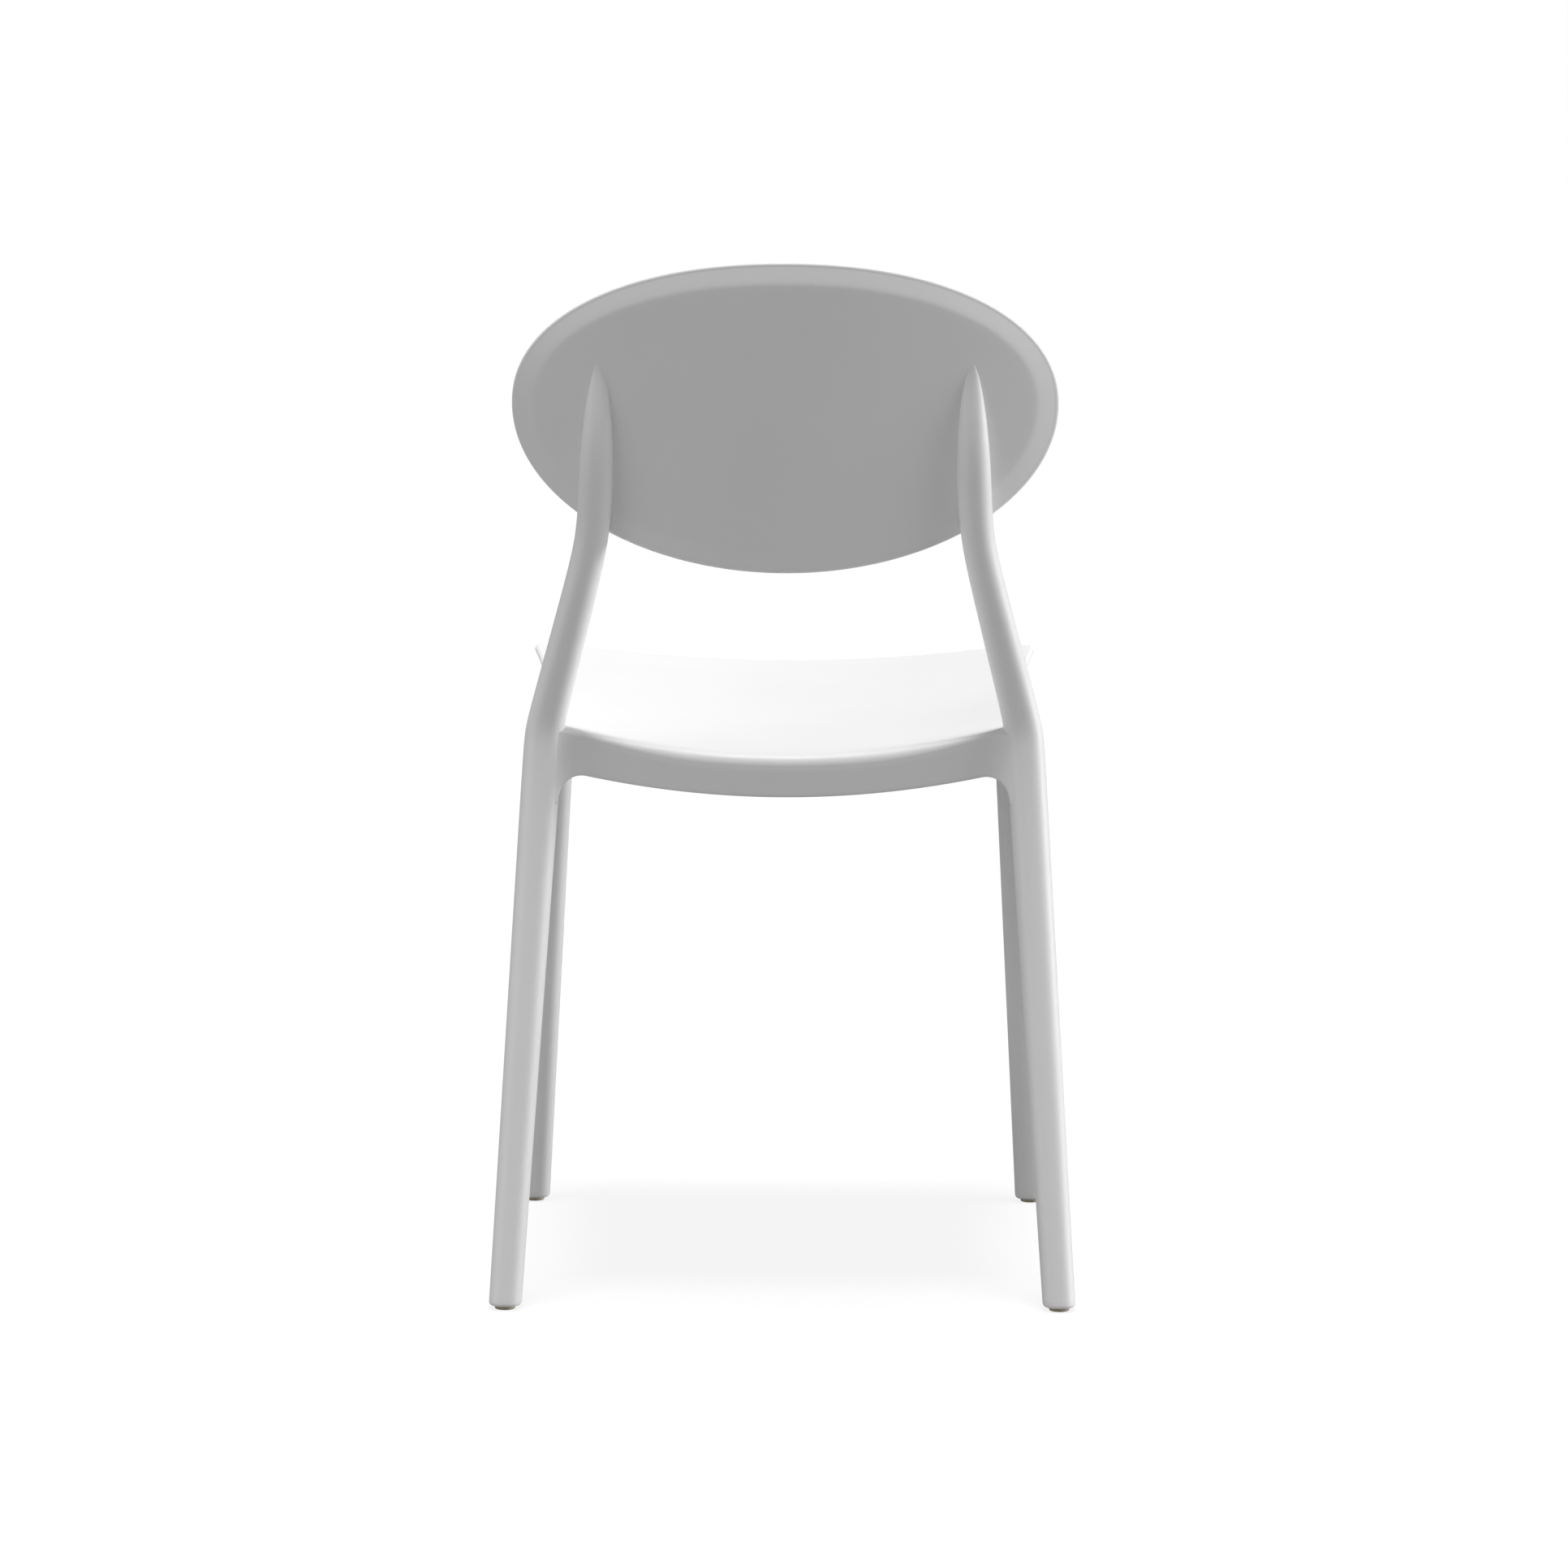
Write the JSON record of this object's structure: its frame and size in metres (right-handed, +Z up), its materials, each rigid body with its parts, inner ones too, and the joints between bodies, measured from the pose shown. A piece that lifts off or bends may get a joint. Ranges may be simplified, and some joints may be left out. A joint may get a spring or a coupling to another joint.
{
  "type": "stacking chair",
  "caption": "Moulded plastic stacking chair with an oval back on two tapering posts, a dished seat with a skirt, slim splayed legs and push-in glides.",
  "frame": {"origin": "on the floor, under the middle of the chair's overall width and depth", "axes": "+Z up; the sitter faces -Y, so the back is on the +Y side; +X is the sitter's left"},
  "size_m": [0.4606, 0.4934, 0.82],
  "materials": {
    "moulded_plastic": "white polypropylene with a fine satin moulded texture",
    "glide_plastic": "smooth cream translucent nylon, a little scuffed underneath"
  },
  "bodies": {
    "root": {"seat_shell": "moulded_plastic", "apron_front": "moulded_plastic", "apron_rear": "moulded_plastic", "apron_left": "moulded_plastic", "apron_right": "moulded_plastic", "seat_rib_centre": "moulded_plastic", "seat_rib_inner_left": "moulded_plastic", "seat_rib_inner_right": "moulded_plastic", "seat_rib_outer_left": "moulded_plastic", "seat_rib_outer_right": "moulded_plastic", "front_leg_left": "moulded_plastic", "front_leg_right": "moulded_plastic", "rear_leg_left": "moulded_plastic", "rear_leg_right": "moulded_plastic", "back_post_left": "moulded_plastic", "back_post_right": "moulded_plastic", "backrest_panel": "moulded_plastic", "glide_front_left": "glide_plastic", "glide_front_right": "glide_plastic", "glide_rear_left": "glide_plastic", "glide_rear_right": "glide_plastic"}
  },
  "joints": []
}
